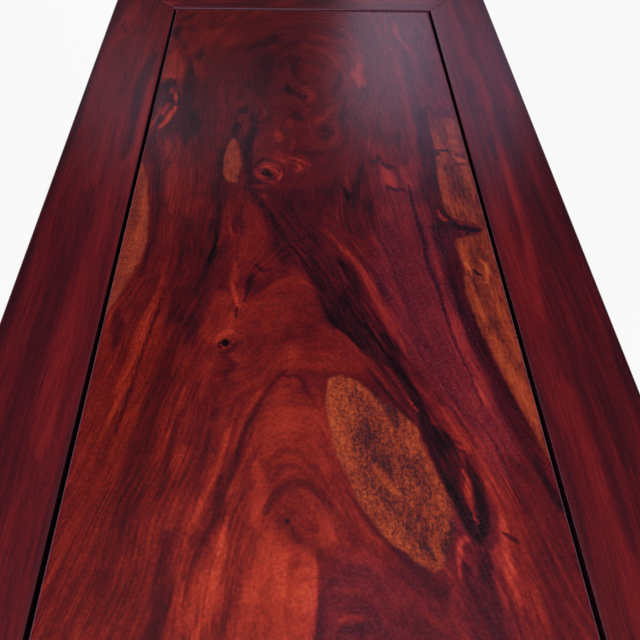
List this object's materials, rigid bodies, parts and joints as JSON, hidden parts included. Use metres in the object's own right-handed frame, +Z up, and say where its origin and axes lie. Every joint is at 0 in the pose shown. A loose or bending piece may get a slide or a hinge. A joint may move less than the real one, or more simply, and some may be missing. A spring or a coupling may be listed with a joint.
{
  "type": "recessed-leg wine table",
  "caption": "Narrow hardwood side table: mitred frame round a floating panel, aprons and spandrels clasped by round splayed legs, paired side stretchers.",
  "frame": {"origin": "middle of the footprint, on the floor", "axes": "+X along the length, +Y from front to back, +Z up"},
  "size_m": [0.98, 0.48, 0.79],
  "materials": {
    "panel": "satin rosewood, boldly figured",
    "frame": "satin rosewood, dark red",
    "underframe": "satin rosewood, dark red",
    "pegs": "plain hardwood, oiled"
  },
  "bodies": {
    "root": {"top_rail_front": "frame", "top_rail_back": "frame", "top_rail_left": "frame", "top_rail_right": "frame", "top_panel": "panel", "brace_left": "frame", "brace_middle": "frame", "brace_right": "frame", "corner_pegs": "pegs", "apron_front": "underframe", "apron_back": "underframe", "apron_end_left": "underframe", "apron_end_right": "underframe", "apron_keys": "pegs", "spandrel_front_left": "underframe", "spandrel_front_right": "underframe", "spandrel_back_left": "underframe", "spandrel_back_right": "underframe", "leg_front_left": "underframe", "leg_front_right": "underframe", "leg_back_left": "underframe", "leg_back_right": "underframe", "stretcher_left_upper": "underframe", "stretcher_left_lower": "underframe", "stretcher_right_upper": "underframe", "stretcher_right_lower": "underframe"}
  },
  "joints": []
}
